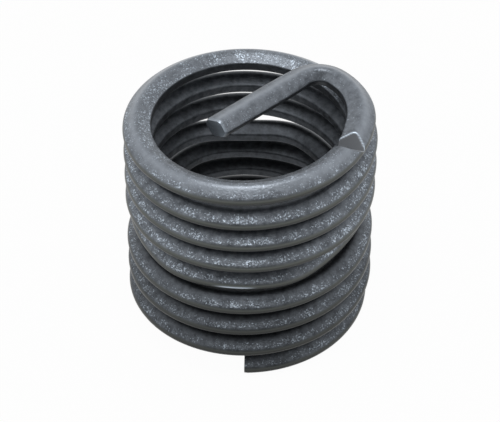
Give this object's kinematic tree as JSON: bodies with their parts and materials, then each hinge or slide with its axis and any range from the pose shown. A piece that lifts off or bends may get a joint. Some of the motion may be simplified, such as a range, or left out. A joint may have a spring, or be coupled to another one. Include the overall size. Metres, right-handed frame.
{
  "type": "helical thread insert",
  "caption": "Helical coil of rhombic wire that screws into a tapped hole and gives it a new internal thread; a polygonal middle turn grips the screw and a bent tang drives it in.",
  "frame": {"origin": "on the coil's axis, level with the lowest point of the plain wire end", "axes": "+Z along the coil's axis, from the plain end towards the tang; the plain wire end is at -Y and the notch at +X, a little towards -Y"},
  "size_m": [0.0148, 0.0148, 0.0159],
  "materials": {
    "coated_wire": "matt, mottled dark grey coating on steel wire, worn lighter on the crests"
  },
  "bodies": {
    "root": {"insert": "coated_wire"}
  },
  "joints": []
}
